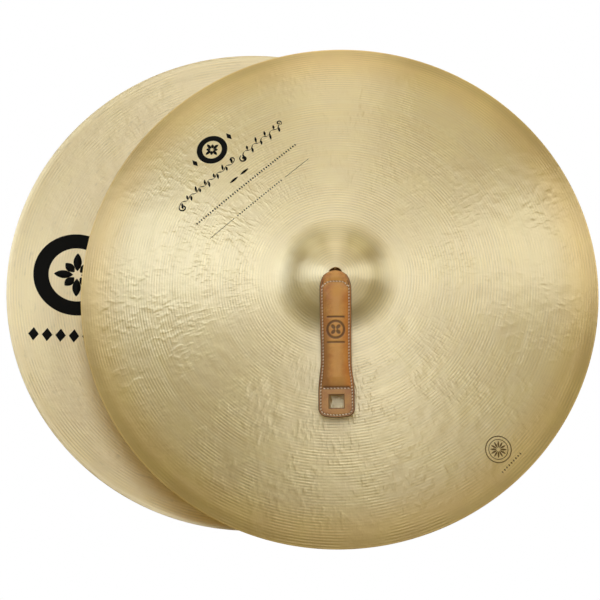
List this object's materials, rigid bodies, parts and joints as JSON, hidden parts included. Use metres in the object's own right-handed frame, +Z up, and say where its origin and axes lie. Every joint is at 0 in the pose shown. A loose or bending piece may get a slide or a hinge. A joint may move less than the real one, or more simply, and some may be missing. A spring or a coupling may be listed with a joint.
{
  "type": "hand cymbals",
  "caption": "Pair of domed bronze hand cymbals facing each other, each with a padded leather hand strap knotted through its centre hole.",
  "frame": {"origin": "centre of the front cymbal's rim plane, on its axis", "axes": "-Y out of the front cymbal's bell, along its axis; +X to the right across its rim; +Z up, with the straps hanging down"},
  "size_m": [0.6236, 0.1751, 0.5564],
  "materials": {
    "bronze": "hammered bronze, fine lathe lines, clear satin finish",
    "leather_cover": "waxed tan leather, darker burnished edges",
    "pad_felt": "dense wool felt",
    "leather_lining": "tan leather, smooth side out",
    "thread": "waxed cream thread",
    "leather_neck": "waxed tan leather",
    "leather_washer": "thick undyed leather, compressed",
    "leather_tails": "tan leather strips"
  },
  "bodies": {
    "front_cymbal": {"front_cymbal": "bronze"},
    "front_knot": {"front_strap_neck": "leather_neck", "front_knot_washer": "leather_washer", "front_knot_tails": "leather_tails"},
    "front_strap": {"front_strap_cover": "leather_cover", "front_strap_pad": "pad_felt", "front_strap_lining": "leather_lining", "front_strap_edge_stitches": "thread", "front_strap_cross_stitches": "thread"},
    "rear_cymbal": {"rear_cymbal": "bronze"},
    "rear_knot": {"rear_strap_neck": "leather_neck", "rear_knot_washer": "leather_washer", "rear_knot_tails": "leather_tails"},
    "rear_strap": {"rear_strap_cover": "leather_cover", "rear_strap_pad": "pad_felt", "rear_strap_lining": "leather_lining", "rear_strap_edge_stitches": "thread", "rear_strap_cross_stitches": "thread"}
  },
  "joints": [
    {"name": "crash_stroke", "type": "slide", "parent": "front_cymbal", "child": "rear_cymbal", "axis": [0, 1, 0], "range_m": [-0.0545, 0.25]},
    {"name": "front_strap_swivel", "type": "hinge", "parent": "front_cymbal", "child": "front_knot", "pos_m": [0, 0, 0], "axis": [0, -1, 0], "continuous": true},
    {"name": "front_strap_lift", "type": "hinge", "parent": "front_knot", "child": "front_strap", "pos_m": [0, -0.05572, 0], "axis": [-1, 0, 0], "range_deg": [0, 165]},
    {"name": "rear_strap_swivel", "type": "hinge", "parent": "rear_cymbal", "child": "rear_knot", "pos_m": [-0.091, 0.057, 0.023], "axis": [-0.0785, 0.9969, 0], "continuous": true},
    {"name": "rear_strap_lift", "type": "hinge", "parent": "rear_knot", "child": "rear_strap", "pos_m": [-0.09537, 0.11255, 0.023], "axis": [0.9969, 0.0785, 0], "range_deg": [0, 165]}
  ]
}
